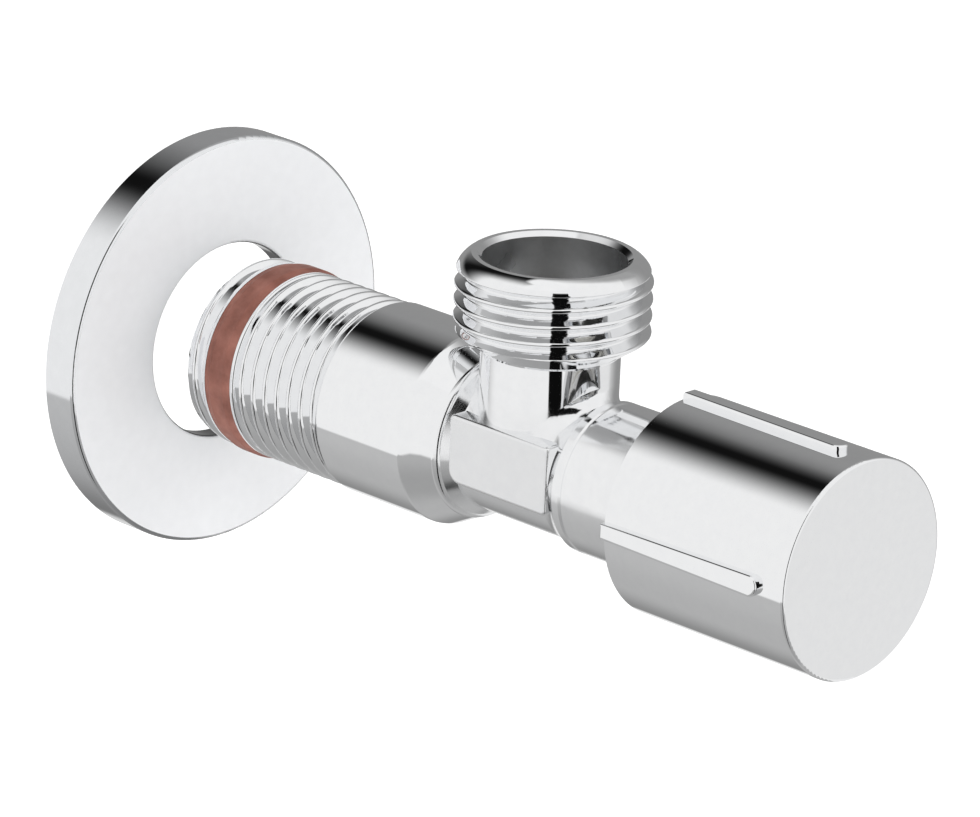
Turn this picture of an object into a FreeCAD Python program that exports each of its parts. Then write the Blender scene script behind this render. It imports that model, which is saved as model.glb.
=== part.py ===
import FreeCAD, Part
import math
import os
import re
import Sketcher

# Angle valve for a wall outlet: a self-sealing inlet stub, an upward outlet, a rotary
# headpart with a non-rising spindle, a push-on handle and a sliding rosette.
# Model frame, millimetres: the inlet end face is centred on the origin, the main axis runs
# along -Y into the room, the wall is towards +Y, the outlet points along +Z.
# Turned pieces are drawn with y = distance from the inlet end face, and each is then
# placed half a turn about Z.

DIMS = [
    # inlet stub
    ("thread_radius", 10.43), ("end_chamfer", 0.4), ("end_chamfer_depth", 0.9),
    ("ring_groove_start", 3.4), ("ring_groove_end", 7.3), ("ring_groove_radius", 8.9),
    ("thread_end", 20.6), ("stub_radius", 10.59), ("shoulder_start", 33.1),
    ("shoulder_end", 36.8), ("shoulder_radius", 8.75), ("shoulder_round", 0.7),
    ("neck_radius", 7.5), ("neck_start", 38.2), ("foot_round", 2.0),
    # collar that carries the headpart
    ("flare_start", 50.6), ("flare_end", 53.2), ("collar_radius", 8.25), ("flare_round", 4.2),
    ("line_pos", 54.3), ("line_width", 0.24), ("line_depth", 0.14), ("collar_end", 62.0),
    # water way
    ("inlet_bore_radius", 6.6), ("inlet_bore_depth", 31.0), ("seat_bore_radius", 4.0),
    ("seat_cone_end", 33.6), ("seat_crown", 38.6), ("seat_lip_radius", 4.8),
    ("chamber_floor", 37.8), ("chamber_radius", 6.0), ("socket_start", 52.8),
    ("socket_radius", 7.0),
    # outlet branch
    ("outlet_axis", 44.4), ("outlet_top", 22.15), ("outlet_neck_radius", 7.38),
    ("outlet_thread_top", 19.9), ("outlet_thread_bottom", 13.1), ("outlet_shoulder", 11.8),
    ("outlet_rim_radius", 8.75), ("outlet_mouth_radius", 7.65), ("outlet_mouth_floor", 14.4),
    ("outlet_bore_radius", 5.5), ("outlet_cone_floor", 12.6),
    # flat pad on the side of the neck
    ("pad_start", 37.9), ("pad_end", 52.1), ("pad_low", 2.9), ("pad_high", 4.6),
    ("pad_face", 8.0), ("pad_root", 5.0),
    # sealing ring
    ("ring_gap", 0.05), ("ring_radius", 10.65), ("ring_shoulder", 10.4), ("ring_crown", 9.0),
    # rosette
    ("rosette_place", 4.0), ("rosette_radius", 22.9), ("rosette_hole", 10.9),
    ("rosette_depth", 4.2), ("rosette_sheet", 0.8), ("rosette_collar", 2.2),
    ("rosette_edge", 0.4),
    # headpart
    ("head_start", 53.4), ("head_thread_radius", 6.95), ("relief_radius", 6.6),
    ("relief_start", 61.2), ("gasket_thickness", 0.8), ("gasket_inner", 7.05),
    ("gasket_outer", 8.2), ("hex_flats", 17.0), ("hex_height", 3.5), ("head_neck_radius", 5.9),
    ("head_end", 77.0), ("guide_radius", 5.25), ("guide_end", 69.4),
    ("journal_bore", 3.5), ("keyway_radius", 6.1), ("keyway_end", 60.3), ("keyway_half", 1.0),
    ("friction_groove", 73.0), ("friction_width", 1.6), ("friction_bottom", 5.0),
    ("head_chamfer", 0.5),
    # spindle
    ("spindle_start", 57.0), ("spindle_thread_radius", 3.2), ("flange_start", 67.6),
    ("flange_end", 68.9), ("flange_radius", 4.7), ("journal_radius", 3.45),
    ("groove_one", 70.6), ("groove_two", 73.8), ("groove_width", 1.4), ("groove_radius", 2.4),
    ("clip_groove_start", 77.55), ("clip_groove_width", 0.8), ("clip_groove_radius", 2.7),
    ("spline_start", 79.2), ("spline_root", 3.05), ("snap_groove_start", 82.2),
    ("snap_groove_width", 1.0), ("snap_groove_radius", 2.6), ("spindle_end", 85.4),
    ("spline_tip", 3.4), ("spline_half", 0.3),
    # small rings
    ("oring_section", 1.02), ("friction_section", 1.4), ("carrier_oring_section", 1.0),
    ("thrust_thickness", 0.5), ("thrust_inner", 3.55), ("thrust_outer", 4.8),
    ("outer_thrust_outer", 5.3), ("circlip_thickness", 0.7), ("circlip_outer", 4.7),
    ("circlip_gap", 1.7), ("circlip_reach", 6.0),
    # disc carrier and washer
    ("carrier_face", 41.65), ("cup_start", 40.4), ("cup_radius", 5.6), ("cup_recess", 5.3),
    ("cup_end", 43.0), ("stem_radius", 4.4), ("piston_start", 53.4), ("piston_radius", 5.2),
    ("carrier_end", 62.4), ("carrier_bore", 3.3), ("carrier_bore_start", 51.5),
    ("screw_hole", 1.55), ("screw_hole_end", 47.6), ("carrier_groove", 60.5),
    ("carrier_groove_width", 1.2), ("carrier_groove_radius", 4.15),
    ("lug_start", 53.7), ("lug_length", 1.3), ("lug_radius", 5.95), ("lug_half", 0.9),
    ("lug_root", 4.6),
    ("washer_start", 38.65), ("washer_radius", 5.2), ("washer_hole", 1.65),
    ("plate_thickness", 0.6), ("plate_radius", 3.2), ("screw_head_height", 1.3),
    ("screw_head_radius", 2.4), ("screw_radius", 1.5), ("screw_end", 46.6),
    ("slot_half", 0.35), ("slot_depth", 0.7),
    # handle
    ("handle_start", 63.9), ("handle_end", 88.7), ("handle_radius", 11.8),
    ("handle_wall", 1.2), ("handle_face", 1.6), ("handle_edge", 0.35),
    ("boss_start", 76.2), ("boss_inner", 8.2), ("boss_outer", 9.3),
    ("rib_length", 22.0), ("rib_half_rear", 0.85), ("rib_half_front", 1.15), ("rib_nose", 1.2),
    ("rib_height", 0.75), ("rib_root", 11.2), ("rib_round", 0.3),
    # handle insert
    ("insert_start", 70.4), ("insert_radius", 8.15), ("insert_skirt", 6.5),
    ("insert_skirt_end", 79.0), ("insert_land", 3.18), ("insert_socket_end", 85.8),
    ("insert_socket", 3.5), ("insert_land_foot", 3.8), ("insert_land_half", 0.13),
    ("insert_foot_half", 0.24), ("insert_end", 87.05),
    ("insert_snap_radius", 4.15), ("insert_flange", 9.2), ("insert_flange_width", 1.2),
    ("snap_wire", 0.4), ("snap_centre", 3.4), ("snap_gap", 1.2), ("snap_reach", 5.0),
]

doc = FreeCAD.newDocument("angle_valve")
sheet = doc.addObject("Spreadsheet::Sheet", "dims")
D = {}
for row, (alias, value) in enumerate(DIMS, start=1):
    sheet.set("A%d" % row, alias.replace("_", " "))
    sheet.set("B%d" % row, str(value))
    sheet.setAlias("B%d" % row, alias)
    D[alias] = float(value)
doc.recompute()


def terms(spec):
    return re.findall(r"([+-]?)([A-Za-z_]+|[0-9.]+)", str(spec).replace(" ", ""))


def num(spec):
    total = 0.0
    for sign, word in terms(spec):
        value = D[word] if word in D else float(word)
        total += -value if sign == "-" else value
    return total


def expr(spec):
    out = ""
    for sign, word in terms(spec):
        out += (sign or ("+" if out else "")) + ("dims." + word if word in D else word)
    return out


def minus(spec):
    out = ""
    for sign, word in terms(spec):
        out += ("+" if sign == "-" else "-") + word
    return "0" + out


def origin_plane(body, role):
    for feature in body.Origin.OriginFeatures:
        if feature.Role == role:
            return feature
    raise RuntimeError(role)


def new_sketch(body, name, role="XY_Plane", offset=None):
    sk = body.newObject("Sketcher::SketchObject", name)
    sk.AttachmentSupport = [(origin_plane(body, role), "")]
    sk.MapMode = "FlatFace"
    if offset:
        axis, spec = offset
        base = FreeCAD.Vector(*[num(spec) if k == axis else 0 for k in "xyz"])
        sk.AttachmentOffset = FreeCAD.Placement(base, FreeCAD.Rotation())
        sk.setExpression(".AttachmentOffset.Base." + axis, expr(spec))
    return sk


def pin_point(sk, geo, pos, sx, sy):
    # fix one point from the sketch origin, each distance bound to the sheet
    for kind, spec, line in (("DistanceX", sx, -2), ("DistanceY", sy, -1)):
        value = num(spec)
        if abs(value) < 1e-9:
            sk.addConstraint(Sketcher.Constraint("PointOnObject", geo, pos, line))
        else:
            index = sk.addConstraint(Sketcher.Constraint(kind, -1, 1, geo, pos, value))
            if not re.fullmatch(r"[-+0-9. ]+", str(spec)):
                sk.setExpression("Constraints[%d]" % index, expr(spec))


def outline(sk, points, arcs=None):
    # closed outline; arcs gives {index: (radius, side)} for the run from a point to the next
    arcs = arcs or {}
    pts = [FreeCAD.Vector(num(a), num(b), 0) for a, b in points]
    n = len(pts)
    ends = []
    for i in range(n):
        p, q = pts[i], pts[(i + 1) % n]
        if i in arcs:
            radius, side = num(arcs[i][0]), arcs[i][1]
            half = (q - p).Length / 2
            mid = (p + q) * 0.5
            across = FreeCAD.Vector(-(q - p).y, (q - p).x, 0).normalize()
            centre = mid + across * (side * math.sqrt(max(radius * radius - half * half, 0)))
            a0 = math.atan2(p.y - centre.y, p.x - centre.x)
            a1 = math.atan2(q.y - centre.y, q.x - centre.x)
            circle = Part.Circle(centre, FreeCAD.Vector(0, 0, 1), radius)
            if side > 0:
                while a1 < a0:
                    a1 += 2 * math.pi
                geo = sk.addGeometry(Part.ArcOfCircle(circle, a0, a1), False)
                ends.append((geo, 1, 2))
            else:
                while a0 < a1:
                    a0 += 2 * math.pi
                geo = sk.addGeometry(Part.ArcOfCircle(circle, a1, a0), False)
                ends.append((geo, 2, 1))
            index = sk.addConstraint(Sketcher.Constraint("Radius", geo, radius))
            sk.setExpression("Constraints[%d]" % index, expr(arcs[i][0]))
        else:
            geo = sk.addGeometry(Part.LineSegment(p, q), False)
            ends.append((geo, 1, 2))
    for i in range(n):
        geo, _, last = ends[i]
        after, first, _ = ends[(i + 1) % n]
        sk.addConstraint(Sketcher.Constraint("Coincident", geo, last, after, first))
    for i, (sx, sy) in enumerate(points):
        pin_point(sk, ends[i][0], ends[i][1], sx, sy)


def circle(sk, sx, sy, radius):
    geo = sk.addGeometry(Part.Circle(FreeCAD.Vector(num(sx), num(sy), 0),
                                     FreeCAD.Vector(0, 0, 1), num(radius)), False)
    index = sk.addConstraint(Sketcher.Constraint("Radius", geo, num(radius)))
    sk.setExpression("Constraints[%d]" % index, expr(radius))
    if abs(num(sx)) < 1e-9 and abs(num(sy)) < 1e-9:
        sk.addConstraint(Sketcher.Constraint("Coincident", geo, 3, -1, 1))
    else:
        pin_point(sk, geo, 3, sx, sy)


BODIES = []


def new_body(label, turned=True):
    body = doc.addObject("PartDesign::Body", "body_" + label)
    body.Label = label
    if turned:
        body.Placement = FreeCAD.Placement(
            FreeCAD.Vector(0, 0, 0), FreeCAD.Rotation(FreeCAD.Vector(0, 0, 1), 180))
    BODIES.append(body)
    return body


def revolve(body, name, points, arcs=None, cut=False, role="XY_Plane", offset=None):
    sk = new_sketch(body, name + "_profile", role, offset)
    outline(sk, points, arcs)
    before = volume(body)
    kind = "PartDesign::Groove" if cut else "PartDesign::Revolution"
    feature = body.newObject(kind, name)
    feature.Profile = sk
    feature.ReferenceAxis = (sk, ["V_Axis"])
    feature.Angle = 360
    finish(body, feature, before, cut)
    return feature


def volume(body):
    return body.Shape.Volume if body.Tip and not body.Shape.isNull() else 0.0


def finish(body, feature, before, cut):
    body.Tip = feature
    doc.recompute()
    after = body.Shape.Volume
    if cut and not after < before - 1e-6:
        raise RuntimeError("%s cuts nothing" % feature.Name)
    if not cut and not after > before + 1e-6:
        raise RuntimeError("%s adds nothing" % feature.Name)


def extrude(body, name, sk, length, cut=False, reverse=False, both=False):
    before = volume(body)
    feature = body.newObject("PartDesign::Pocket" if cut else "PartDesign::Pad", name)
    feature.Profile = sk
    feature.Length = num(length)
    feature.setExpression("Length", expr(length))
    feature.Reversed = reverse
    if both:
        feature.Midplane = True
    finish(body, feature, before, cut)
    return feature


def polar(body, name, feature, count, axis_role="Y_Axis", cut=False):
    before = volume(body)
    pattern = body.newObject("PartDesign::PolarPattern", name)
    pattern.Originals = [feature]
    pattern.Axis = (origin_plane(body, axis_role), [""])
    pattern.Angle = 360
    pattern.Occurrences = count
    finish(body, pattern, before, cut)
    return pattern


def edges(body, test):
    found = []
    for i, edge in enumerate(body.Tip.Shape.Edges, start=1):
        if test(edge):
            found.append("Edge%d" % i)
    if not found:
        raise RuntimeError("no edge found in " + body.Label)
    return found


def dress(body, name, kind, names, size):
    # a fillet or chamfer on the named edges of the tip
    base = body.Tip
    feature = body.newObject("PartDesign::" + kind, name)
    feature.Base = (base, names)
    if kind == "Fillet":
        feature.Radius = num(size)
        feature.setExpression("Radius", expr(size))
    else:
        feature.Size = num(size)
        feature.setExpression("Size", expr(size))
    body.Tip = feature
    doc.recompute()
    return feature


def ring_edge(radius, along, tol=0.02):
    # circular edge about the turning axis, in the body's own frame
    def test(edge):
        c = edge.Curve
        return (hasattr(c, "Radius") and abs(c.Radius - num(radius)) < tol
                and abs(c.Center.y - num(along)) < tol and abs(c.Center.x) < tol
                and abs(abs(c.Axis.y) - 1) < 1e-6)
    return test


# ---------------------------------------------------------------- valve body
body = new_body("valve_body")
# a plain tee first, so that the foot of the branch gets its cast radius
revolve(body, "neck_form", [
    ("0", "flare_end"), ("0", "shoulder_start"),
    ("neck_radius", "shoulder_start"), ("neck_radius", "flare_end"),
])
revolve(body, "branch_form", [
    ("0", "0"),
    ("outlet_neck_radius", "0"),
    ("outlet_neck_radius", "outlet_shoulder"),
    ("0", "outlet_shoulder"),
], role="YZ_Plane", offset=("x", "outlet_axis"))


def on_foot(edge):
    return all(abs(math.hypot(p.x, p.y - num("outlet_axis")) - num("outlet_neck_radius")) < 0.01
               and abs(math.hypot(p.x, p.z) - num("neck_radius")) < 0.01
               for p in edge.discretize(7))


dress(body, "foot_fillet", "Fillet", edges(body, on_foot), "foot_round")
# stub, shoulder cone, neck, flare and collar
revolve(body, "main_form", [
    ("thread_radius-end_chamfer_depth", "0"),
    ("thread_radius", "end_chamfer"),
    ("thread_radius", "thread_end"),
    ("stub_radius", "thread_end+0.3"),
    ("stub_radius", "shoulder_start"),
    ("shoulder_radius+0.2", "shoulder_end-0.45"),
    ("shoulder_radius-0.35", "shoulder_end+0.35"),
    ("neck_radius", "neck_start"),
    ("neck_radius", "flare_start"),
    ("collar_radius", "flare_end"),
    ("collar_radius", "line_pos-line_width"),
    ("collar_radius-line_depth", "line_pos"),
    ("collar_radius", "line_pos+line_width"),
    ("collar_radius", "collar_end"),
    ("0", "collar_end"),
    ("0", "0"),
], arcs={5: ("0.75", 1), 8: ("flare_round", -1)})
dress(body, "shoulder_fillet", "Fillet",
      edges(body, ring_edge("stub_radius", "shoulder_start")), "shoulder_round")
# thread land of the outlet, its conical underside and its rounded rim
revolve(body, "outlet_form", [
    ("0", "outlet_shoulder-0.5"),
    ("outlet_neck_radius", "outlet_shoulder-0.5"),
    ("outlet_neck_radius", "outlet_shoulder"),
    ("thread_radius", "outlet_thread_bottom"),
    ("thread_radius", "outlet_thread_top"),
    ("outlet_rim_radius", "outlet_top"),
    ("0", "outlet_top"),
], arcs={4: ("3.0", 1)}, role="YZ_Plane", offset=("x", "outlet_axis"))
# flat pad facing the side of the neck, one corner more rounded than the others
sk = new_sketch(body, "pad_sketch", "YZ_Plane", ("z", "pad_root"))
outline(sk, [("pad_start+1.6", "0-pad_low"), ("pad_end-0.5", "0-pad_low"),
             ("pad_end", "0.5-pad_low"), ("pad_end", "pad_high-0.5"),
             ("pad_end-0.5", "pad_high"), ("pad_start+0.6", "pad_high"),
             ("pad_start", "pad_high-0.6"), ("pad_start", "1.6-pad_low")],
        arcs={1: ("0.5", 1), 3: ("0.5", 1), 5: ("0.6", 1), 7: ("1.6", 1)})
extrude(body, "side_pad", sk, "pad_face-pad_root")


def on_pad_face(edge):
    return all(abs(p.x - num("pad_face")) < 1e-4 for p in edge.discretize(5))


dress(body, "pad_fillet", "Fillet", edges(body, on_pad_face), "0.35")
# water way along the main axis: inlet bore, seat, chamber and headpart socket
revolve(body, "inlet_cavity", [
    ("0", "-1"), ("inlet_bore_radius+0.6", "-1"), ("inlet_bore_radius+0.6", "0"),
    ("inlet_bore_radius", "0.6"),
    ("inlet_bore_radius", "inlet_bore_depth"), ("seat_bore_radius", "seat_cone_end"),
    ("seat_bore_radius", "seat_crown+1"), ("0", "seat_crown+1"),
], cut=True)
revolve(body, "chamber_cavity", [
    ("0", "seat_crown"), ("seat_lip_radius-0.2", "seat_crown"),
    ("seat_lip_radius", "seat_crown-0.2"),
    ("seat_lip_radius", "chamber_floor"), ("chamber_radius", "chamber_floor"),
    ("chamber_radius", "socket_start-0.6"), ("socket_radius", "socket_start"),
    ("socket_radius", "collar_end-0.4"), ("socket_radius+0.4", "collar_end"),
    ("socket_radius+0.4", "collar_end+1"), ("0", "collar_end+1"),
], cut=True)
# outlet bore down into the chamber, with a wider mouth and a conical seat
revolve(body, "outlet_cavity", [
    ("0", "2"), ("outlet_bore_radius", "2"), ("outlet_bore_radius", "outlet_cone_floor"),
    ("outlet_mouth_radius", "outlet_mouth_floor"), ("outlet_mouth_radius", "outlet_top-0.5"),
    ("outlet_mouth_radius+0.5", "outlet_top"), ("outlet_mouth_radius+0.5", "outlet_top+1"),
    ("0", "outlet_top+1"),
], cut=True, role="YZ_Plane", offset=("x", "outlet_axis"))
# groove that holds the sealing ring on the thread
revolve(body, "ring_groove", [
    ("ring_groove_radius", "ring_groove_start"), ("thread_radius+1", "ring_groove_start"),
    ("thread_radius+1", "ring_groove_end"), ("ring_groove_radius", "ring_groove_end"),
], cut=True)

# ---------------------------------------------------------------- inlet sealing ring
body = new_body("inlet_sealing_ring")
revolve(body, "ring_form", [
    ("ring_groove_radius", "ring_groove_start+ring_gap"),
    ("ring_shoulder", "ring_groove_start+ring_gap"),
    ("ring_radius", "ring_groove_start+ring_gap+0.9"),
    ("ring_radius", "ring_groove_end-ring_gap-0.9"),
    ("ring_shoulder", "ring_groove_end-ring_gap"),
    ("ring_groove_radius", "ring_groove_end-ring_gap"),
], arcs={1: ("2.0", -1), 3: ("2.0", -1)})

# ---------------------------------------------------------------- rosette
body = new_body("rosette", turned=False)
body.Placement = FreeCAD.Placement(FreeCAD.Vector(0, D["rosette_place"], 0), FreeCAD.Rotation())
body.setExpression(".Placement.Base.y", "dims.rosette_place")
revolve(body, "pressed_sheet", [
    ("rosette_hole", "0.35"),
    ("rosette_hole+0.35", "0"),
    ("rosette_radius-rosette_edge", "0"),
    ("rosette_radius", "rosette_edge"),
    ("rosette_radius", "rosette_depth"),
    ("rosette_radius-rosette_sheet", "rosette_depth"),
    ("rosette_radius-rosette_sheet", "rosette_sheet"),
    ("rosette_hole+rosette_sheet", "rosette_sheet"),
    ("rosette_hole+rosette_sheet", "rosette_collar"),
    ("rosette_hole", "rosette_collar"),
], arcs={0: ("0.35", 1), 2: ("rosette_edge+0.25", 1)})

# ---------------------------------------------------------------- headpart body
body = new_body("headpart_body")
revolve(body, "head_form", [
    ("guide_radius", "head_start"),
    ("head_thread_radius-0.5", "head_start"),
    ("head_thread_radius", "head_start+0.5"),
    ("head_thread_radius", "relief_start"),
    ("relief_radius", "relief_start"),
    ("relief_radius", "collar_end+gasket_thickness"),
    ("head_neck_radius", "collar_end+gasket_thickness"),
    ("head_neck_radius", "friction_groove"),
    ("friction_bottom", "friction_groove"),
    ("friction_bottom", "friction_groove+friction_width"),
    ("head_neck_radius", "friction_groove+friction_width"),
    ("head_neck_radius", "head_end-head_chamfer"),
    ("head_neck_radius-head_chamfer", "head_end"),
    ("journal_bore", "head_end"),
    ("journal_bore", "guide_end"),
    ("guide_radius", "guide_end"),
])
sk = new_sketch(body, "hex_sketch", "XZ_Plane", ("z", "0-collar_end-gasket_thickness"))
outer = sk.addGeometry(Part.Circle(FreeCAD.Vector(0, 0, 0), FreeCAD.Vector(0, 0, 1),
                                   D["hex_flats"] / math.sqrt(3)), True)
sk.addConstraint(Sketcher.Constraint("Coincident", outer, 3, -1, 1))
index = sk.addConstraint(Sketcher.Constraint("Radius", outer, D["hex_flats"] / math.sqrt(3)))
sk.setExpression("Constraints[%d]" % index, "dims.hex_flats / sqrt(3)")
corners = [FreeCAD.Vector(D["hex_flats"] / math.sqrt(3) * math.cos(math.radians(60 * k)),
                          D["hex_flats"] / math.sqrt(3) * math.sin(math.radians(60 * k)), 0)
           for k in range(6)]
sides = [sk.addGeometry(Part.LineSegment(corners[k], corners[(k + 1) % 6]), False)
         for k in range(6)]
for k in range(6):
    sk.addConstraint(Sketcher.Constraint("Coincident", sides[k], 2, sides[(k + 1) % 6], 1))
    sk.addConstraint(Sketcher.Constraint("PointOnObject", sides[k], 1, outer))
    if k:
        sk.addConstraint(Sketcher.Constraint("Equal", sides[0], sides[k]))
sk.addConstraint(Sketcher.Constraint("PointOnObject", sides[0], 1, -1))
circle(sk, "0", "0", "head_neck_radius-0.2")
extrude(body, "hex_flange", sk, "hex_height", reverse=True)
# two keyways in the guide bore keep the disc carrier from turning
sk = new_sketch(body, "keyway_sketch", "XZ_Plane", ("z", "0-head_start+1"))
outline(sk, [("0-keyway_radius", "0-keyway_half"), ("keyway_radius", "0-keyway_half"),
             ("keyway_radius", "keyway_half"), ("0-keyway_radius", "keyway_half")])
extrude(body, "keyways", sk, "keyway_end-head_start+1", cut=True)


def simple_ring(label, name, inner, outer, start, thickness):
    ring = new_body(label)
    revolve(ring, name, [(inner, start), (outer, start),
                         (outer, start + "+" + thickness), (inner, start + "+" + thickness)])
    return ring


def cord_ring(label, name, inner, section, along):
    # ring of round section; inner is the radius it sits on, along its lowest position
    ring = new_body(label)
    sk = new_sketch(ring, name + "_profile")
    geo = sk.addGeometry(Part.Circle(
        FreeCAD.Vector(num(inner) + num(section) / 2, num(along) + num(section) / 2, 0),
        FreeCAD.Vector(0, 0, 1), num(section) / 2), False)
    index = sk.addConstraint(Sketcher.Constraint("Radius", geo, num(section) / 2))
    sk.setExpression("Constraints[%d]" % index, "(%s) / 2" % expr(section))
    for kind, spec in (("DistanceX", inner), ("DistanceY", along)):
        value = num(spec) + num(section) / 2
        index = sk.addConstraint(Sketcher.Constraint(kind, -1, 1, geo, 3, value))
        sk.setExpression("Constraints[%d]" % index, "%s + (%s) / 2" % (expr(spec), expr(section)))
    feature = ring.newObject("PartDesign::Revolution", name)
    feature.Profile = sk
    feature.ReferenceAxis = (sk, ["V_Axis"])
    feature.Angle = 360
    finish(ring, feature, 0.0, False)
    return ring


# ---------------------------------------------------------------- static rings
simple_ring("headpart_gasket", "gasket_form", "gasket_inner", "gasket_outer",
            "collar_end", "gasket_thickness")
cord_ring("handle_friction_ring", "friction_form", "friction_bottom", "friction_section",
          "friction_groove+0.1")

# ---------------------------------------------------------------- spindle
body = new_body("spindle")
revolve(body, "spindle_form", [
    ("0", "spindle_start"),
    ("spindle_thread_radius-0.5", "spindle_start"),
    ("spindle_thread_radius", "spindle_start+0.5"),
    ("spindle_thread_radius", "flange_start"),
    ("flange_radius", "flange_start"),
    ("flange_radius", "flange_end"),
    ("journal_radius", "flange_end"),
    ("journal_radius", "groove_one"),
    ("groove_radius", "groove_one"),
    ("groove_radius", "groove_one+groove_width"),
    ("journal_radius", "groove_one+groove_width"),
    ("journal_radius", "groove_two"),
    ("groove_radius", "groove_two"),
    ("groove_radius", "groove_two+groove_width"),
    ("journal_radius", "groove_two+groove_width"),
    ("journal_radius", "clip_groove_start"),
    ("clip_groove_radius", "clip_groove_start"),
    ("clip_groove_radius", "clip_groove_start+clip_groove_width"),
    ("journal_radius", "clip_groove_start+clip_groove_width"),
    ("journal_radius", "spline_start-0.3"),
    ("spline_root", "spline_start-0.3"),
    ("spline_root", "snap_groove_start"),
    ("snap_groove_radius", "snap_groove_start"),
    ("snap_groove_radius", "snap_groove_start+snap_groove_width"),
    ("spline_root", "snap_groove_start+snap_groove_width"),
    ("spline_root", "spindle_end-0.6"),
    ("spline_root-0.6", "spindle_end"),
    ("0", "spindle_end"),
])
# twenty splines on the spindle's head, in two bands beside the snap groove
for name, start, end in (("spline_low", "spline_start", "snap_groove_start"),
                         ("spline_high", "snap_groove_start+snap_groove_width",
                          "spindle_end-0.6")):
    sk = new_sketch(body, name + "_sketch", "XZ_Plane", ("z", minus(start)))
    outline(sk, [("spline_root-0.4", "0-spline_half-0.1"), ("spline_tip", "0-spline_half+0.15"),
                 ("spline_tip", "spline_half-0.15"), ("spline_root-0.4", "spline_half+0.1")])
    tooth = extrude(body, name, sk, end + minus(start)[1:], reverse=True)
    polar(body, name + "_ring", tooth, 20)

cord_ring("spindle_oring_inner", "inner_oring_form", "groove_radius", "oring_section",
          "groove_one+0.19")
cord_ring("spindle_oring_outer", "outer_oring_form", "groove_radius", "oring_section",
          "groove_two+0.19")
simple_ring("thrust_washer_inner", "inner_thrust_form", "thrust_inner", "thrust_outer",
            "flange_end", "thrust_thickness-0.03")
simple_ring("thrust_washer_outer", "outer_thrust_form", "thrust_inner", "outer_thrust_outer",
            "head_end+0.03", "thrust_thickness-0.03")


def open_ring(label, name, inner, outer, start, thickness, gap, reach):
    # flat spring ring with a gap towards +X
    ring = simple_ring(label, name, inner, outer, start, thickness)
    sk = new_sketch(ring, name + "_gap", "XZ_Plane", ("z", minus(start) + "+1"))
    outline(sk, [("0", minus(gap)), (reach, minus(gap)), (reach, gap), ("0", gap)])
    extrude(ring, name + "_cut", sk, thickness + "+2", cut=True)
    return ring


open_ring("spindle_circlip", "circlip_form", "clip_groove_radius+0.02", "circlip_outer",
          "clip_groove_start+0.05", "circlip_thickness", "circlip_gap", "circlip_reach")

# ---------------------------------------------------------------- disc carrier
body = new_body("disc_carrier")
revolve(body, "carrier_form", [
    ("screw_hole", "carrier_face"),
    ("cup_recess", "carrier_face"),
    ("cup_recess", "cup_start"),
    ("cup_radius-0.1", "cup_start"),
    ("cup_radius", "cup_start+0.1"),
    ("cup_radius", "cup_end"),
    ("stem_radius", "cup_end"),
    ("stem_radius", "piston_start"),
    ("piston_radius", "piston_start"),
    ("piston_radius", "carrier_groove"),
    ("carrier_groove_radius", "carrier_groove"),
    ("carrier_groove_radius", "carrier_groove+carrier_groove_width"),
    ("piston_radius", "carrier_groove+carrier_groove_width"),
    ("piston_radius", "carrier_end"),
    ("carrier_bore+0.3", "carrier_end"),
    ("carrier_bore", "carrier_end-0.3"),
    ("carrier_bore", "carrier_bore_start"),
    ("0", "carrier_bore_start"),
    ("0", "screw_hole_end"),
    ("screw_hole", "screw_hole_end"),
])
# two lugs that run in the keyways
sk = new_sketch(body, "lug_sketch", "XZ_Plane", ("z", minus("lug_start")))
outline(sk, [("lug_root", "0-lug_half"), ("lug_radius", "0-lug_half"),
             ("lug_radius", "lug_half"), ("lug_root", "lug_half")])
lug = extrude(body, "lug", sk, "lug_length", reverse=True)
polar(body, "lugs", lug, 2)
cord_ring("carrier_oring", "carrier_oring_form", "carrier_groove_radius",
          "carrier_oring_section", "carrier_groove+0.1")

# ---------------------------------------------------------------- seat washer and its fixing
body = new_body("seat_washer")
revolve(body, "washer_form", [
    ("washer_hole", "washer_start"), ("washer_radius-0.3", "washer_start"),
    ("washer_radius", "washer_start+0.3"), ("washer_radius", "carrier_face"),
    ("washer_hole", "carrier_face"),
])
body = new_body("washer_plate")
revolve(body, "plate_form", [
    ("washer_hole", "washer_start-plate_thickness"),
    ("plate_radius-0.2", "washer_start-plate_thickness"),
    ("plate_radius", "washer_start-plate_thickness+0.2"), ("plate_radius", "washer_start"),
    ("washer_hole", "washer_start"),
])
body = new_body("washer_screw")
revolve(body, "screw_form", [
    ("0", "washer_start-plate_thickness-screw_head_height"),
    ("screw_head_radius-0.5", "washer_start-plate_thickness-screw_head_height"),
    ("screw_head_radius", "washer_start-plate_thickness-screw_head_height+0.5"),
    ("screw_head_radius", "washer_start-plate_thickness"),
    ("screw_radius", "washer_start-plate_thickness"),
    ("screw_radius", "screw_end-0.4"), ("screw_radius-0.4", "screw_end"), ("0", "screw_end"),
])
sk = new_sketch(body, "slot_sketch", "XZ_Plane",
                ("z", minus("washer_start-plate_thickness-screw_head_height") + "+1"))
outline(sk, [("0-screw_head_radius-1", "0-slot_half"), ("screw_head_radius+1", "0-slot_half"),
             ("screw_head_radius+1", "slot_half"), ("0-screw_head_radius-1", "slot_half")])
extrude(body, "screw_slot", sk, "slot_depth+1", cut=True)

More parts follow.
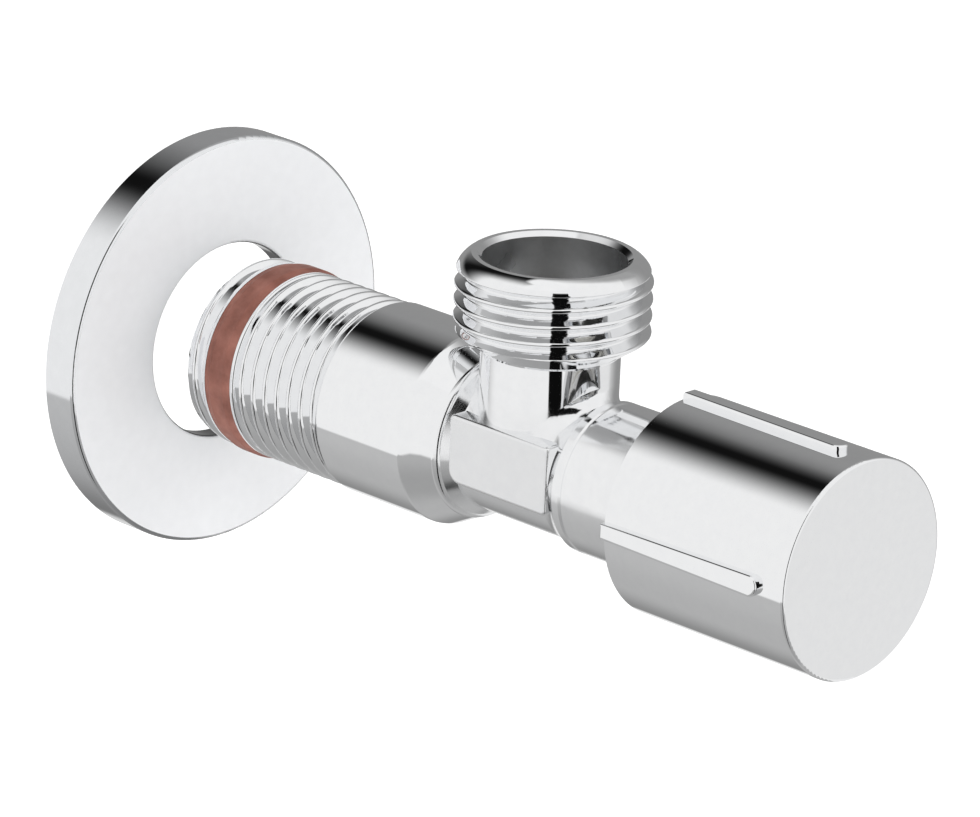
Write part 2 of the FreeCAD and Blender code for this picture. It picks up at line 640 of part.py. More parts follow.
# ---------------------------------------------------------------- handle shell
body = new_body("handle_shell")
revolve(body, "shell_form", [
    ("handle_radius-handle_wall", "handle_start"),
    ("handle_radius-0.2", "handle_start"),
    ("handle_radius", "handle_start+0.2"),
    ("handle_radius", "handle_end-handle_edge"),
    ("handle_radius-handle_edge", "handle_end"),
    ("0", "handle_end"),
    ("0", "handle_end-handle_face"),
    ("boss_inner", "handle_end-handle_face"),
    ("boss_inner", "boss_start"),
    ("boss_outer", "boss_start"),
    ("boss_outer", "handle_end-handle_face"),
    ("handle_radius-handle_wall", "handle_end-handle_face"),
], arcs={3: ("handle_edge", 1)})
# grip ribs: four, a quarter turn apart, from the rear rim forward, with round front ends
sk = new_sketch(body, "rib_sketch", "XY_Plane", ("z", "rib_root"))
outline(sk, [("0-rib_half_rear", "handle_start+0.15"),
             ("rib_half_rear", "handle_start+0.15"),
             ("rib_half_front", "handle_start+rib_length-rib_nose"),
             ("0-rib_half_front", "handle_start+rib_length-rib_nose")],
        arcs={2: ("rib_nose", 1)})
rib = extrude(body, "rib", sk, "handle_radius+rib_height-rib_root")
polar(body, "ribs", rib, 4)


def on_rib_top(edge):
    return all(abs(max(abs(p.x), abs(p.z)) - num("handle_radius") - num("rib_height")) < 1e-4
               for p in edge.discretize(5))


dress(body, "rib_fillet", "Fillet", edges(body, on_rib_top), "rib_round")

# ---------------------------------------------------------------- handle insert
body = new_body("handle_insert")
revolve(body, "insert_form", [
    ("insert_skirt", "insert_start"),
    ("insert_radius", "insert_start"),
    ("insert_radius", "boss_start-insert_flange_width"),
    ("insert_flange", "boss_start-insert_flange_width"),
    ("insert_flange", "boss_start"),
    ("insert_radius", "boss_start"),
    ("insert_radius", "insert_end"),
    ("0", "insert_end"),
    ("0", "insert_socket_end"),
    ("insert_socket", "insert_socket_end"),
    ("insert_socket", "snap_groove_start+snap_groove_width+0.1"),
    ("insert_snap_radius", "snap_groove_start+snap_groove_width+0.1"),
    ("insert_snap_radius", "snap_groove_start-0.1"),
    ("insert_socket", "snap_groove_start-0.1"),
    ("insert_socket", "insert_skirt_end"),
    ("insert_skirt", "insert_skirt_end"),
])
# lands between the spindle's splines, so half a tooth round from them
for name, start, end in (("socket_low", "insert_skirt_end", "snap_groove_start-0.1"),
                         ("socket_high", "snap_groove_start+snap_groove_width+0.1",
                          "insert_socket_end")):
    sk = new_sketch(body, name + "_sketch", "XZ_Plane", ("z", minus(start)))
    outline(sk, [("insert_land", "0-insert_land_half"), ("insert_land_foot", "0-insert_foot_half"),
                 ("insert_land_foot", "insert_foot_half"), ("insert_land", "insert_land_half")])
    sk.AttachmentOffset = FreeCAD.Placement(sk.AttachmentOffset.Base,
                                            FreeCAD.Rotation(FreeCAD.Vector(0, 0, 1), 9))
    tooth = extrude(body, name, sk, end + minus(start)[1:], reverse=True)
    polar(body, name + "_ring", tooth, 20)

# ---------------------------------------------------------------- snap ring of the handle
body = new_body("handle_snap_ring")
sk = new_sketch(body, "wire_profile")
circle(sk, "snap_centre", "snap_groove_start+0.5", "snap_wire")
feature = body.newObject("PartDesign::Revolution", "wire_form")
feature.Profile = sk
feature.ReferenceAxis = (sk, ["V_Axis"])
feature.Angle = 360
finish(body, feature, 0.0, False)
sk = new_sketch(body, "wire_gap", "XZ_Plane", ("z", minus("snap_groove_start") + "+1"))
outline(sk, [("0", "0-snap_gap"), ("snap_reach", "0-snap_gap"),
             ("snap_reach", "snap_gap"), ("0", "snap_gap")])
extrude(body, "wire_cut", sk, "snap_groove_width+2", cut=True)

# ---------------------------------------------------------------- checks and STEP files
doc.recompute()
for item in doc.Objects:
    if "Invalid" in item.State or "Error" in item.State:
        raise RuntimeError("%s is not valid: %s" % (item.Name, item.State))
for piece in BODIES:
    if piece.Shape.isNull() or not piece.Shape.isValid():
        raise RuntimeError(piece.Label + " has no valid shape")
    if len(piece.Shape.Solids) != 1:
        raise RuntimeError(piece.Label + " is not one solid")
os.makedirs("parts", exist_ok=True)
for piece in BODIES:
    piece.Shape.exportStep("parts/%s.step" % piece.Label)
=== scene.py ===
import math

import bmesh
import bpy
import numpy as np
from mathutils import Matrix, Vector
from mathutils.bvhtree import BVHTree


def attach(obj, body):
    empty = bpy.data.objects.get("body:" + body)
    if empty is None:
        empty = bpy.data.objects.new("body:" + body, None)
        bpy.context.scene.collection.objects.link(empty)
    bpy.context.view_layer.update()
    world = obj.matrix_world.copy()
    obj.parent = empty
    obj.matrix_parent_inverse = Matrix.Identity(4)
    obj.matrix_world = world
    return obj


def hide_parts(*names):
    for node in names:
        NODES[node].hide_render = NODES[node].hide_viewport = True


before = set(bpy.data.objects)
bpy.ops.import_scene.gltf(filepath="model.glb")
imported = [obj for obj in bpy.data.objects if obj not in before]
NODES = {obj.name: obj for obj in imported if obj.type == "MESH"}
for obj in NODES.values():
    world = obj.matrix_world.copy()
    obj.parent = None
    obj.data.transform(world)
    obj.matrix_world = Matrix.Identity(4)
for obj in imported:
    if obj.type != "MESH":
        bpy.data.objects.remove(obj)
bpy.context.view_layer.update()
scene = bpy.context.scene
scene.view_settings.view_transform = "Standard"
scene.view_settings.look = "None"
scene.cycles.use_denoising = True
scene.cycles.max_bounces = 16
scene.cycles.glossy_bounces = 16
scene.cycles.sample_clamp_indirect = 6.0


# ------------------------------------------------------------------ camera
def make_camera():
    data = bpy.data.cameras.new("view")
    data.sensor_fit = "HORIZONTAL"
    data.sensor_width = 36.0
    data.lens = 258.37
    data.clip_start, data.clip_end = 0.01, 20.0
    cam = bpy.data.objects.new("view", data)
    scene.collection.objects.link(cam)
    right = Vector((0.69933, -0.71348, 0.04334)).normalized()
    back = Vector((-0.68506, -0.65170, 0.32553)).normalized()
    up = back.cross(right).normalized()
    right = up.cross(back)
    m = Matrix((
        (right.x, up.x, back.x, -0.50815),
        (right.y, up.y, back.y, -0.51947),
        (right.z, up.z, back.z, 0.24439),
        (0, 0, 0, 1)))
    cam.matrix_world = m
    scene.camera = cam


make_camera()


# ------------------------------------------------------------------ studio
WHITE = 0.90


def new_math(tree, op, a, b=None, clamp=False):
    n = tree.nodes.new("ShaderNodeMath")
    n.operation = op
    n.use_clamp = clamp
    for i, v in enumerate((a, b)):
        if v is None:
            continue
        if isinstance(v, (int, float)):
            n.inputs[i].default_value = v
        else:
            tree.links.new(v, n.inputs[i])
    return n.outputs[0]


def new_step(tree, value, lo, hi, out_lo=0.0, out_hi=1.0):
    n = tree.nodes.new("ShaderNodeMapRange")
    n.interpolation_type = "SMOOTHSTEP"
    n.clamp = True
    tree.links.new(value, n.inputs["Value"])
    n.inputs["From Min"].default_value = lo
    n.inputs["From Max"].default_value = hi
    n.inputs["To Min"].default_value = out_lo
    n.inputs["To Max"].default_value = out_hi
    return n.outputs["Result"]


def new_mix(tree, fac, a, b):
    # scalar mix: a + (b - a) * fac
    n = tree.nodes.new("ShaderNodeMix")
    n.data_type = "FLOAT"
    tree.links.new(fac, n.inputs["Factor"])
    for key, v in ((2, a), (3, b)):
        if isinstance(v, (int, float)):
            n.inputs[key].default_value = v
        else:
            tree.links.new(v, n.inputs[key])
    return n.outputs[0]


def dot(tree, vec, axis):
    n = tree.nodes.new("ShaderNodeVectorMath")
    n.operation = "DOT_PRODUCT"
    tree.links.new(vec, n.inputs[0])
    n.inputs[1].default_value = axis
    return n.outputs["Value"]


def make_world():
    # a white tent with a grey back wall, a grey table and two black flags
    world = bpy.data.worlds.new("tent")
    scene.world = world
    world.use_nodes = True
    t = world.node_tree
    t.nodes.clear()
    coord = t.nodes.new("ShaderNodeTexCoord").outputs["Generated"]
    x = dot(t, coord, (1, 0, 0))
    y = dot(t, coord, (0, 1, 0))
    z = dot(t, coord, (0, 0, 1))
    # grey wall behind the object and to its right, open at the zenith
    az = math.radians(133.5)
    back = dot(t, coord, (math.sin(az), -math.cos(az), 0))
    wall = new_step(t, back, 0.10, 0.80, WHITE, 0.285)
    tall = new_step(t, dot(t, coord, (0.66, 0.45, 0.60)), 0.62, 0.86, 1.0, 0.36)
    wall = new_math(t, "MINIMUM", wall, tall)
    level = new_mix(t, new_step(t, dot(t, coord, (-0.25, 0.0, 0.968)), 0.915, 0.94), wall, 0.92)
    # tall black flag behind the object
    ratio = new_math(t, "DIVIDE", x, new_math(t, "MAXIMUM", y, 0.02))
    right = new_step(t, ratio, 0.12, 0.85, 1.0, 0.0)
    ratio = new_math(t, "DIVIDE", x, new_math(t, "MAXIMUM", new_math(t, "MAXIMUM", y, z), 0.02))
    left = new_step(t, ratio, -0.66, 0.03)
    span = new_math(t, "MULTIPLY", new_step(t, z, 0.06, 0.26), new_step(t, z, 0.950, 0.972, 1.0, 0.0))
    flag = new_math(t, "MULTIPLY", new_math(t, "MULTIPLY", left, right), span)
    flag = new_math(t, "MULTIPLY", flag, new_step(t, y, 0.05, 0.15))
    level = new_mix(t, flag, level, 0.006)
    # grey table, lighter near its far left edge, white at its right and straight behind the object
    low = new_step(t, z, -0.46, -0.43, 1.0, 0.0)
    table = new_math(t, "MINIMUM", new_step(t, back, -0.30, 0.15, 0.36, 0.45), new_step(t, back, 0.40, 0.80, 0.45, 0.265))
    rise = new_math(t, "MULTIPLY", new_step(t, z, -0.80, -0.46, 0.0, 0.08), new_step(t, back, 0.55, 0.25))
    table = new_math(t, "ADD", table, rise)
    az = math.radians(84)
    lit = new_math(t, "MULTIPLY", new_step(t, dot(t, coord, (math.sin(az), -math.cos(az), 0)), 0.56, 0.64),
                   new_step(t, z, -0.88, -0.85))
    table = new_mix(t, lit, table, 0.88)
    level = new_mix(t, low, level, table)
    strip = new_math(t, "MULTIPLY", new_step(t, z, -0.60, -0.52), new_step(t, z, -0.36, -0.34, 1.0, 0.0))
    strip = new_math(t, "MULTIPLY", strip, new_step(t, back, 0.72, 0.80))
    level = new_mix(t, strip, level, 0.84)
    # narrow upright black flag in front
    az = math.radians(-37.2)
    front = dot(t, coord, (math.sin(az), -math.cos(az), 0))
    side = dot(t, coord, (math.cos(az), math.sin(az), 0))
    off = new_math(t, "ABSOLUTE", new_math(t, "DIVIDE", side, new_math(t, "MAXIMUM", front, 0.02)))
    strip = new_math(t, "MULTIPLY", new_step(t, off, 0.175, 0.20, 1.0, 0.0), new_step(t, front, 0.05, 0.10))
    band = new_math(t, "MULTIPLY", new_step(t, z, -0.93, -0.90), new_step(t, z, 0.72, 0.78, 1.0, 0.0))
    level = new_mix(t, new_math(t, "MULTIPLY", strip, band), level, 0.004)
    # slightly greyer front right
    level = new_mix(t, new_step(t, dot(t, coord, (0.685, -0.652, -0.326)), 0.90, 0.975), level, 0.80)
    look = t.nodes.new("ShaderNodeLightPath").outputs["Is Camera Ray"]
    level = new_mix(t, look, level, 1.0)
    background = t.nodes.new("ShaderNodeBackground")
    t.links.new(level, background.inputs["Color"])
    background.inputs["Strength"].default_value = 1.0
    out = t.nodes.new("ShaderNodeOutputWorld")
    t.links.new(background.outputs[0], out.inputs["Surface"])


make_world()


# ------------------------------------------------------------------ materials
def material(name):
    m = bpy.data.materials.new(name)
    m.use_nodes = True
    t = m.node_tree
    bsdf = t.nodes["Principled BSDF"]
    return m, t, bsdf


def ramp(tree, fac, stops):
    n = tree.nodes.new("ShaderNodeValToRGB")
    tree.links.new(fac, n.inputs["Fac"])
    while len(n.color_ramp.elements) > 1:
        n.color_ramp.elements.remove(n.color_ramp.elements[-1])
    for i, (pos, col) in enumerate(stops):
        e = n.color_ramp.elements[0] if i == 0 else n.color_ramp.elements.new(pos)
        e.position = pos
        e.color = (*col, 1.0)
    return n.outputs["Color"]


def noise(tree, scale, detail=3.0, rough=0.5, stretch=None):
    coord = tree.nodes.new("ShaderNodeTexCoord").outputs["Object"]
    if stretch:
        mp = tree.nodes.new("ShaderNodeMapping")
        mp.inputs["Scale"].default_value = stretch
        tree.links.new(coord, mp.inputs["Vector"])
        coord = mp.outputs["Vector"]
    n = tree.nodes.new("ShaderNodeTexNoise")
    n.inputs["Scale"].default_value = scale
    n.inputs["Detail"].default_value = detail
    n.inputs["Roughness"].default_value = rough
    tree.links.new(coord, n.inputs["Vector"])
    return n.outputs["Fac"]


def bump(tree, bsdf, height, strength, distance):
    n = tree.nodes.new("ShaderNodeBump")
    n.inputs["Strength"].default_value = strength
    n.inputs["Distance"].default_value = distance
    tree.links.new(height, n.inputs["Height"])
    tree.links.new(n.outputs["Normal"], bsdf.inputs["Normal"])


def metal(name, dark, light, rough_lo, rough_hi, scale=900.0, stretch=None, waves=0.0, wave_scale=400.0):
    m, t, b = material(name)
    b.inputs["Metallic"].default_value = 1.0
    f = noise(t, scale, 4.0, 0.6, stretch)
    t.links.new(ramp(t, f, ((0.3, dark), (0.7, light))), b.inputs["Base Color"])
    r = new_step(t, noise(t, scale * 0.35, 3.0, 0.5, stretch), 0.3, 0.7, rough_lo, rough_hi)
    t.links.new(r, b.inputs["Roughness"])
    if waves:
        bump(t, b, noise(t, wave_scale, 2.0, 0.5, stretch), waves, 0.00005)
    return m


def matter(name, dark, light, rough, scale, detail=4.0, bumpy=0.15, stretch=None):
    m, t, b = material(name)
    f = noise(t, scale, detail, 0.6, stretch)
    t.links.new(ramp(t, f, ((0.32, dark), (0.68, light))), b.inputs["Base Color"])
    r = new_step(t, noise(t, scale * 2.3, 2.0), 0.3, 0.7, rough - 0.06, rough + 0.06)
    t.links.new(r, b.inputs["Roughness"])
    bump(t, b, noise(t, scale * 3.0, 3.0), bumpy, 0.00005)
    return m


CHROME = metal("chrome_polished", (0.915, 0.92, 0.93), (0.94, 0.945, 0.95), 0.035, 0.041)


def cast_finish():
    # softer chrome on the cast middle of the body, polished towards the outlet's neck
    m, t, b = material("chrome_cast")
    b.inputs["Metallic"].default_value = 1.0
    coord = t.nodes.new("ShaderNodeTexCoord").outputs["Object"]
    f = noise(t, 700.0, 4.0, 0.6)
    t.links.new(ramp(t, f, ((0.3, (0.905, 0.91, 0.92)), (0.7, (0.94, 0.945, 0.95)))), b.inputs["Base Color"])
    soft = new_step(t, noise(t, 260.0, 3.0, 0.5), 0.3, 0.7, 0.12, 0.18)
    # the flat pad is duller
    x, y = dot(t, coord, (1, 0, 0)), dot(t, coord, (0, 1, 0))
    pad = new_math(t, "MULTIPLY", new_step(t, y, -0.0523, -0.0519), new_step(t, y, -0.0381, -0.0377, 1.0, 0.0))
    pad = new_math(t, "MULTIPLY", pad, new_step(t, x, -0.00797, -0.00785, 1.0, 0.0))
    soft = new_mix(t, pad, soft, 0.36)
    t.links.new(new_mix(t, new_step(t, dot(t, coord, (0, 0, 1)), 0.0060, 0.0088), soft, 0.04), b.inputs["Roughness"])
    bump(t, b, noise(t, 400.0, 2.0, 0.5), 0.05, 0.00005)
    return m


CHROME_CAST = cast_finish()


def rosette_finish():
    # one pressed sheet: satin face, polished rim and hole edge, told apart by the distance from the axis
    m, t, b = material("chrome_rosette")
    coord = t.nodes.new("ShaderNodeTexCoord").outputs["Object"]
    away = t.nodes.new("ShaderNodeVectorMath")
    away.operation = "MULTIPLY"
    t.links.new(coord, away.inputs[0])
    away.inputs[1].default_value = (1.0, 0.0, 1.0)
    length = t.nodes.new("ShaderNodeVectorMath")
    length.operation = "LENGTH"
    t.links.new(away.outputs[0], length.inputs[0])
    radius = length.outputs["Value"]
    face = new_math(t, "MULTIPLY", new_step(t, radius, 0.02242, 0.02254, 1.0, 0.0),
                    new_step(t, radius, 0.01098, 0.01112))
    f = noise(t, 700.0, 4.0, 0.6)
    # painted shade: a darker hairline round the hole, and the rim's underside painted darker as a dark reflection
    painted_hole_shade = new_step(t, radius, 0.01098, 0.01108, 0.22, 1.0)
    # painted reflection: the rim's base colour darkens towards its lower side, standing in for a dark reflection
    painted_rim_shade = new_step(t, dot(t, coord, (-0.35, 0.0, 0.94)), -0.017, 0.002, 0.45, 1.0)
    painted_rim_shade = new_mix(t, new_step(t, radius, 0.02242, 0.02254), 1.0, painted_rim_shade)
    # painted shade: the base colour is scaled down by the hole's dark hairline and the rim's dark underside
    painted_shade_tint = t.nodes.new("ShaderNodeVectorMath")
    painted_shade_tint.operation = "SCALE"
    t.links.new(ramp(t, f, ((0.3, (0.855, 0.865, 0.88)), (0.7, (0.885, 0.895, 0.91)))), painted_shade_tint.inputs[0])
    t.links.new(new_math(t, "MULTIPLY", painted_hole_shade, painted_rim_shade), painted_shade_tint.inputs["Scale"])
    t.links.new(painted_shade_tint.outputs[0], b.inputs["Base Color"])
    t.links.new(new_mix(t, face, 1.0, 0.22), b.inputs["Metallic"])
    t.links.new(new_mix(t, face, new_step(t, f, 0.3, 0.7, 0.05, 0.08), new_step(t, f, 0.3, 0.7, 0.44, 0.50)),
                b.inputs["Roughness"])
    return m


CHROME_FACE = rosette_finish()
BRASS = metal("brass_turned", (0.62, 0.44, 0.20), (0.74, 0.56, 0.28), 0.18, 0.30, stretch=(1, 14, 1))
STEEL = metal("steel_turned", (0.50, 0.50, 0.50), (0.62, 0.62, 0.61), 0.20, 0.32, stretch=(1, 14, 1))
BORE = metal("bore_matte", (0.56, 0.565, 0.57), (0.66, 0.665, 0.67), 0.26, 0.36, scale=500.0)
PLATED = metal("nickel_turned", (0.74, 0.735, 0.72), (0.82, 0.815, 0.80), 0.28, 0.38, stretch=(1, 14, 1))
RUBBER = matter("rubber_black", (0.012, 0.012, 0.012), (0.03, 0.03, 0.03), 0.55, 700)
FIBRE = matter("fibre_white", (0.66, 0.65, 0.60), (0.78, 0.77, 0.73), 0.75, 1200, bumpy=0.4)
WHITE_PLASTIC = matter("plastic_white", (0.70, 0.70, 0.68), (0.80, 0.80, 0.78), 0.45, 500, bumpy=0.08)
SHEET_PLASTIC = matter("plastic_natural", (0.62, 0.60, 0.54), (0.72, 0.70, 0.63), 0.5, 500, bumpy=0.08)
RING = matter("sealing_polymer", (0.19, 0.065, 0.045), (0.34, 0.135, 0.10), 0.62, 320, detail=6.0, bumpy=0.35)

FINISH = {
    "valve_body": CHROME_CAST, "inlet_sealing_ring": RING, "rosette": CHROME_FACE,
    "headpart_body": PLATED, "headpart_gasket": FIBRE, "handle_friction_ring": RUBBER,
    "handle_shell": CHROME, "handle_insert": WHITE_PLASTIC, "handle_snap_ring": STEEL,
    "spindle": BRASS, "spindle_oring_inner": RUBBER, "spindle_oring_outer": RUBBER,
    "thrust_washer_inner": SHEET_PLASTIC, "thrust_washer_outer": SHEET_PLASTIC,
    "spindle_circlip": STEEL, "disc_carrier": BRASS, "carrier_oring": RUBBER,
    "seat_washer": RUBBER, "washer_plate": BRASS, "washer_screw": STEEL,
}
for name, mat in FINISH.items():
    mesh = NODES[name].data
    mesh.materials.clear()
    mesh.materials.append(mat)


# ------------------------------------------------------------------ threads
# Millimetres in the model frame: u runs along the main axis from the inlet end face, z along the outlet.
PITCH = 1.814
CREST = 10.41
OUTLET_AXIS = -44.4


def turn_profile(s):
    # depth below the crest of one turn of a 55 degree pipe thread, s in turns from the crest
    x = np.abs((s + 0.5) % 1.0 - 0.5) * PITCH
    rho, half = 0.2491, math.radians(27.5)
    near = rho * math.cos(half)
    far = PITCH / 2.0 - near
    crest = rho - np.sqrt(rho * rho - np.minimum(x, near) ** 2)
    flank = (np.clip(x, near, far) - near) / math.tan(half)
    root = np.sqrt(rho * rho - np.minimum(PITCH / 2.0 - x, near) ** 2) - rho * math.sin(half)
    return crest + flank + root


def fade(v, lo, hi):
    t = np.clip((v - lo) / (hi - lo), 0.0, 1.0)
    return t * t * (3.0 - 2.0 * t)


def stub_radius(phi, u):
    # phi is right-handed about +Y
    turn = (u - 8.35) / PITCH + phi / (2.0 * math.pi)
    depth = turn_profile(turn) * (1.0 - fade(u, 20.0, 20.6))
    r = CREST - depth
    # full lands on both sides of the sealing ring's groove
    land = np.where(u > 5.0, 1.0 - fade(u, 7.65, 8.0), fade(u, 2.7, 3.05))
    r = np.maximum(r, np.where((u > 2.6) & (u < 8.1), CREST - 1.2 * (1.0 - land), 0.0))
    r = np.minimum(r, 9.50 + np.maximum(u, -0.5) * 2.2)
    return np.where(u > 20.62, np.maximum(r, CREST + (u - 20.62) * 1.6), r)


def rim_radius(z):
    # the CAD rim: an arc of radius 3 from (10.43, 19.9) to (8.75, 22.15)
    a, b = np.array([10.43, 19.9]), np.array([8.75, 22.15])
    mid, chord = (a + b) / 2, b - a
    h = math.sqrt(9.0 - (chord @ chord) / 4)
    c = mid - np.array([-chord[1], chord[0]]) / math.hypot(*chord) * -h
    return c[0] + np.sqrt(np.maximum(9.0 - (z - c[1]) ** 2, 0.0))


def outlet_radius(phi, z):
    # phi is right-handed about +Z
    turn = (z - 19.22) / PITCH - (phi - math.radians(225.0)) / (2.0 * math.pi)
    depth = turn_profile(turn) * (1.0 - fade(z, 20.35, 20.85)) * fade(z, 13.2, 14.1)
    r = np.where(z > 19.9, np.minimum(rim_radius(z) - 0.012, CREST), CREST) - depth
    r = np.where(z > 20.9, np.maximum(r, rim_radius(z) - 0.012 + (z - 20.9) * 0.4), r)
    # conical underside, down to just outside the neck
    return np.minimum(r, np.maximum(7.42, 7.45 + (z - 11.95) * 1.52))


def cutter(name, radius, lo, hi, rows, around, place):
    # a thick tube whose inside is the threaded surface
    phi = np.linspace(0.0, 2.0 * math.pi, around, endpoint=False)
    along = np.linspace(lo, hi, rows)
    pp, aa = np.meshgrid(phi, along)
    rr = radius(pp, aa)
    inner = np.stack([pp, aa, rr], -1).reshape(-1, 3)
    outer = np.stack([pp[[0, -1]], aa[[0, -1]], np.full((2, around), 14.0)], -1).reshape(-1, 3)
    pts = place(np.concatenate([inner, outer]))
    faces = []
    grid = np.arange(rows * around).reshape(rows, around)
    cap = rows * around + np.arange(2 * around).reshape(2, around)
    rings = [cap[0]] + list(grid) + [cap[1]]
    for i in range(len(rings)):
        a, b = rings[i], rings[(i + 1) % len(rings)]
        an, bn = np.roll(a, -1), np.roll(b, -1)
        faces.append(np.stack([a, an, bn, b], 1))
    faces = np.concatenate(faces)
    mesh = bpy.data.meshes.new(name)
    mesh.from_pydata((pts * 0.001).tolist(), [], faces.tolist())
    bm = bmesh.new()
    bm.from_mesh(mesh)
    bmesh.ops.recalc_face_normals(bm, faces=bm.faces)
    bm.to_mesh(mesh)
    bm.free()
    obj = bpy.data.objects.new(name, mesh)
    scene.collection.objects.link(obj)
    return obj


def stub_place(p):
    # phi, u, r -> x, y, z with phi right-handed about +Y, measured from +Z
    return np.stack([p[:, 2] * np.sin(p[:, 0]), -p[:, 1], p[:, 2] * np.cos(p[:, 0])], 1)


def outlet_place(p):
    return np.stack([p[:, 2] * np.cos(p[:, 0]), OUTLET_AXIS + p[:, 2] * np.sin(p[:, 0]), p[:, 1]], 1)


def surface_normals(pts, which):
    # analytic normals of the two threaded surfaces at points on them
    e = 1e-3
    if which == "stub":
        phi, along = np.arctan2(pts[:, 0], pts[:, 2]), -pts[:, 1]
        f = stub_radius
        rad = np.stack([np.sin(phi), np.zeros_like(phi), np.cos(phi)], 1)
        tan = np.stack([np.cos(phi), np.zeros_like(phi), -np.sin(phi)], 1)
        axis = np.array([0.0, -1.0, 0.0])
    else:
        phi, along = np.arctan2(pts[:, 1] - OUTLET_AXIS, pts[:, 0]), pts[:, 2]
        f = outlet_radius
        rad = np.stack([np.cos(phi), np.sin(phi), np.zeros_like(phi)], 1)
        tan = np.stack([-np.sin(phi), np.cos(phi), np.zeros_like(phi)], 1)
        axis = np.array([0.0, 0.0, 1.0])
    r = f(phi, along)
    dphi = (f(phi + e, along) - f(phi - e, along)) / (2 * e)
    dal = (f(phi, along + e) - f(phi, along - e)) / (2 * e)
    n = rad - tan * (dphi / r)[:, None] - axis * dal[:, None]
    return n / np.linalg.norm(n, axis=1)[:, None], r


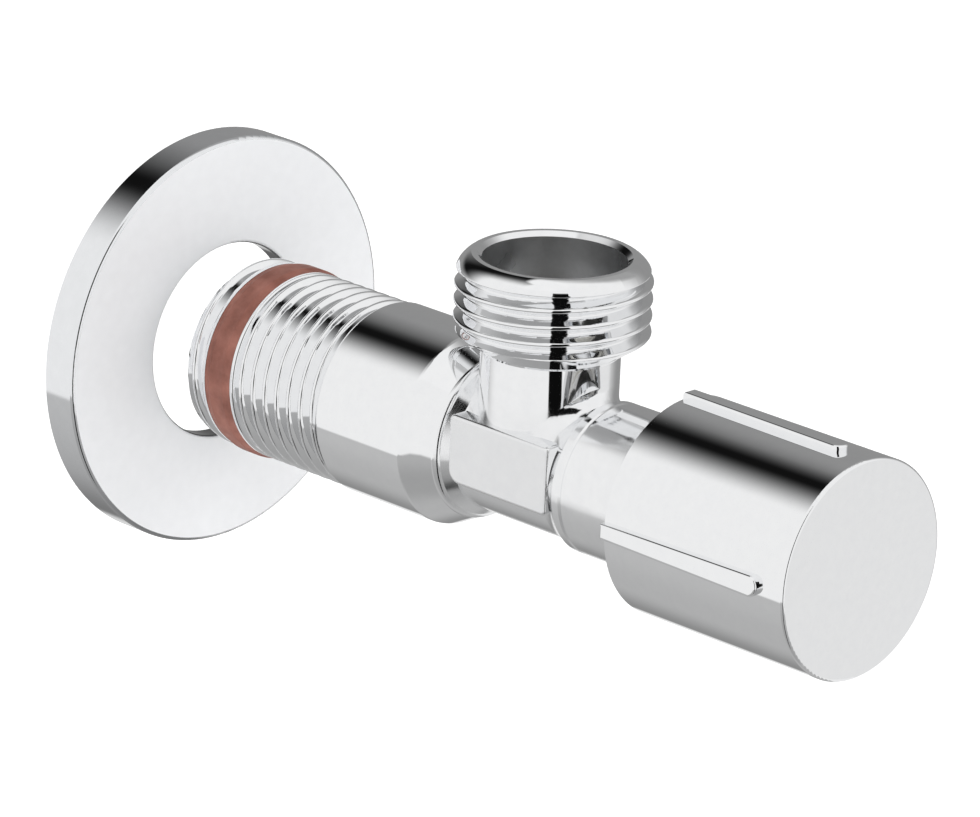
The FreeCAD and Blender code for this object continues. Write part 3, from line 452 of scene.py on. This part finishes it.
def threaded_body():
    src = NODES["valve_body"]
    cad = src.data
    world = src.matrix_world.copy()
    cad.calc_loop_triangles()
    corner = [c.vector.copy() for c in cad.corner_normals]
    tris = [tuple(t.vertices) for t in cad.loop_triangles]
    loops = [tuple(t.loops) for t in cad.loop_triangles]
    verts = [world @ v.co for v in cad.vertices]
    spin = world.to_3x3()
    tree = BVHTree.FromPolygons(verts, tris)

    bm = bmesh.new()
    bm.from_mesh(cad)
    bm.transform(world)
    bmesh.ops.remove_doubles(bm, verts=bm.verts, dist=1e-7)
    mesh = bpy.data.meshes.new("body_blank")
    bm.to_mesh(mesh)
    bm.free()
    blank = bpy.data.objects.new("body_blank", mesh)
    scene.collection.objects.link(blank)
    tools = [
        cutter("stub_tool", stub_radius, -0.45, 20.9, 222, 176, stub_place),
        cutter("outlet_tool", outlet_radius, 11.62, 21.6, 112, 160, outlet_place),
    ]
    for tool in tools:
        mod = blank.modifiers.new(tool.name, "BOOLEAN")
        mod.operation = "DIFFERENCE"
        mod.solver = "EXACT"
        mod.object = tool
    bpy.context.view_layer.update()
    cut = bpy.data.meshes.new_from_object(blank.evaluated_get(bpy.context.evaluated_depsgraph_get()))
    for obj in tools + [blank]:
        bpy.data.objects.remove(obj)

    bm = bmesh.new()
    bm.from_mesh(cut)
    bmesh.ops.remove_doubles(bm, verts=bm.verts, dist=2e-7)
    bmesh.ops.dissolve_degenerate(bm, edges=bm.edges, dist=1e-7)
    bmesh.ops.triangulate(bm, faces=bm.faces)
    bm.to_mesh(cut)
    bm.free()
    cut.name = "body_threaded"
    cut.materials.clear()
    cut.materials.append(CHROME_CAST)
    cut.materials.append(BORE)
    cut.materials.append(CHROME)
    cut.polygons.foreach_set("use_smooth", [True] * len(cut.polygons))

    co = np.empty(len(cut.vertices) * 3)
    cut.vertices.foreach_get("co", co)
    co = co.reshape(-1, 3) * 1000.0
    vi = np.empty(len(cut.loops), int)
    cut.loops.foreach_get("vertex_index", vi)
    tri = vi.reshape(-1, 3)
    centre = co[tri].mean(1)
    normals = np.zeros((len(vi), 3))
    done = np.zeros(len(tri), bool)
    for which in ("stub", "outlet"):
        n, r = surface_normals(co, which)
        nc, rc = surface_normals(centre, which)
        if which == "stub":
            have, mid = np.hypot(co[:, 0], co[:, 2]), np.hypot(centre[:, 0], centre[:, 2])
            zone = (-centre[:, 1] < 20.75) & (mid > 8.0)
        else:
            have, mid = np.hypot(co[:, 0], co[:, 1] - OUTLET_AXIS), np.hypot(centre[:, 0], centre[:, 1] - OUTLET_AXIS)
            zone = (centre[:, 2] > 11.9) & (centre[:, 2] < 21.55) & (mid > np.where(centre[:, 2] < 14.2, 7.5, 8.7))
        on = (np.abs(have - r) < 0.02)[tri].all(1) & zone
        normals[np.repeat(on, 3)] = n[tri[on].reshape(-1)]
        done |= on
    for i in np.nonzero(~done)[0]:
        c = centre[i] * 0.001
        for k in range(3):
            p = co[tri[i, k]] * 0.001
            p = p + (c - p) * 0.03
            hit = tree.find_nearest(Vector(p))
            a, b, d = (verts[j] for j in tris[hit[2]])
            full = (b - a).cross(d - a).length
            q = hit[0]
            wa = (b - q).cross(d - q).length / full
            wb = (d - q).cross(a - q).length / full
            la, lb, ld = loops[hit[2]]
            n = spin @ (corner[la] * wa + corner[lb] * wb + corner[ld] * max(0.0, 1.0 - wa - wb))
            normals[3 * i + k] = n.normalized()
    # flat facets where a transferred normal doesn't suit its face
    flat = np.cross(co[tri[:, 1]] - co[tri[:, 0]], co[tri[:, 2]] - co[tri[:, 0]])
    size = np.linalg.norm(flat, axis=1)
    flat = flat / np.maximum(size, 1e-12)[:, None]
    bad = ((normals.reshape(-1, 3, 3) * flat[:, None, :]).sum(2) < 0.3).any(1) & (size > 1e-6)
    normals[np.repeat(bad, 3)] = np.repeat(flat[bad], 3, axis=0)
    cut.normals_split_custom_set(normals.tolist())

    from_outlet = np.hypot(centre[:, 0], centre[:, 1] - OUTLET_AXIS)
    from_axis = np.hypot(centre[:, 0], centre[:, 2])
    inside = (from_outlet < 7.75) & (centre[:, 2] > 12.55) & (centre[:, 2] < 21.6)
    inside |= (from_outlet < 5.6) & (centre[:, 2] > 3.0) & (centre[:, 2] < 12.7)
    inside |= (from_axis < 7.1) & (centre[:, 1] < -0.05) & (centre[:, 1] > -61.9)
    turned = (-centre[:, 1] < 36.7) | ((from_outlet < 11.0) & (centre[:, 2] > 12.4))
    cut.polygons.foreach_set("material_index", np.where(inside, 1, np.where(turned, 2, 0)))
    obj = bpy.data.objects.new("body_threaded", cut)
    scene.collection.objects.link(obj)
    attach(obj, "valve")
    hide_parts("valve_body")
    print("threaded body", len(cut.vertices), len(cut.polygons), "bad", int(bad.sum()), "analytic", int(done.sum()))
    return obj


BODY = threaded_body()


# ------------------------------------------------------------------ floor
def make_floor():
    bm = bmesh.new()
    size, depth = 3.0, -0.075
    quad = [bm.verts.new((x, y, depth)) for x, y in ((-size, -size), (size, -size), (size, size), (-size, size))]
    bm.faces.new(quad)
    mesh = bpy.data.meshes.new("floor")
    bm.to_mesh(mesh)
    bm.free()
    obj = bpy.data.objects.new("floor", mesh)
    scene.collection.objects.link(obj)
    m, t, b = material("floor_pale")
    f = noise(t, 6.0, 2.0)
    t.links.new(ramp(t, f, ((0.3, (0.93, 0.93, 0.93)), (0.7, (0.95, 0.95, 0.95)))), b.inputs["Base Color"])
    b.inputs["Roughness"].default_value = 0.9
    b.inputs["Emission Color"].default_value = (1, 1, 1, 1)
    b.inputs["Emission Strength"].default_value = 0.45
    mesh.materials.append(m)
    obj.visible_glossy = False


make_floor()


def area(name, where, aim, size, power):
    data = bpy.data.lights.new(name, "AREA")
    data.shape = "DISK"
    data.size = size
    data.energy = power
    obj = bpy.data.objects.new(name, data)
    obj.location = where
    obj.rotation_euler = (Vector(aim) - Vector(where)).to_track_quat("-Z", "Y").to_euler()
    obj.visible_glossy = False
    scene.collection.objects.link(obj)


area("key", (-0.9, -0.7, 1.1), (0, -0.04, 0), 0.8, 6.0)
area("fill", (0.8, -0.9, 0.6), (0, -0.04, 0), 0.9, 3.0)
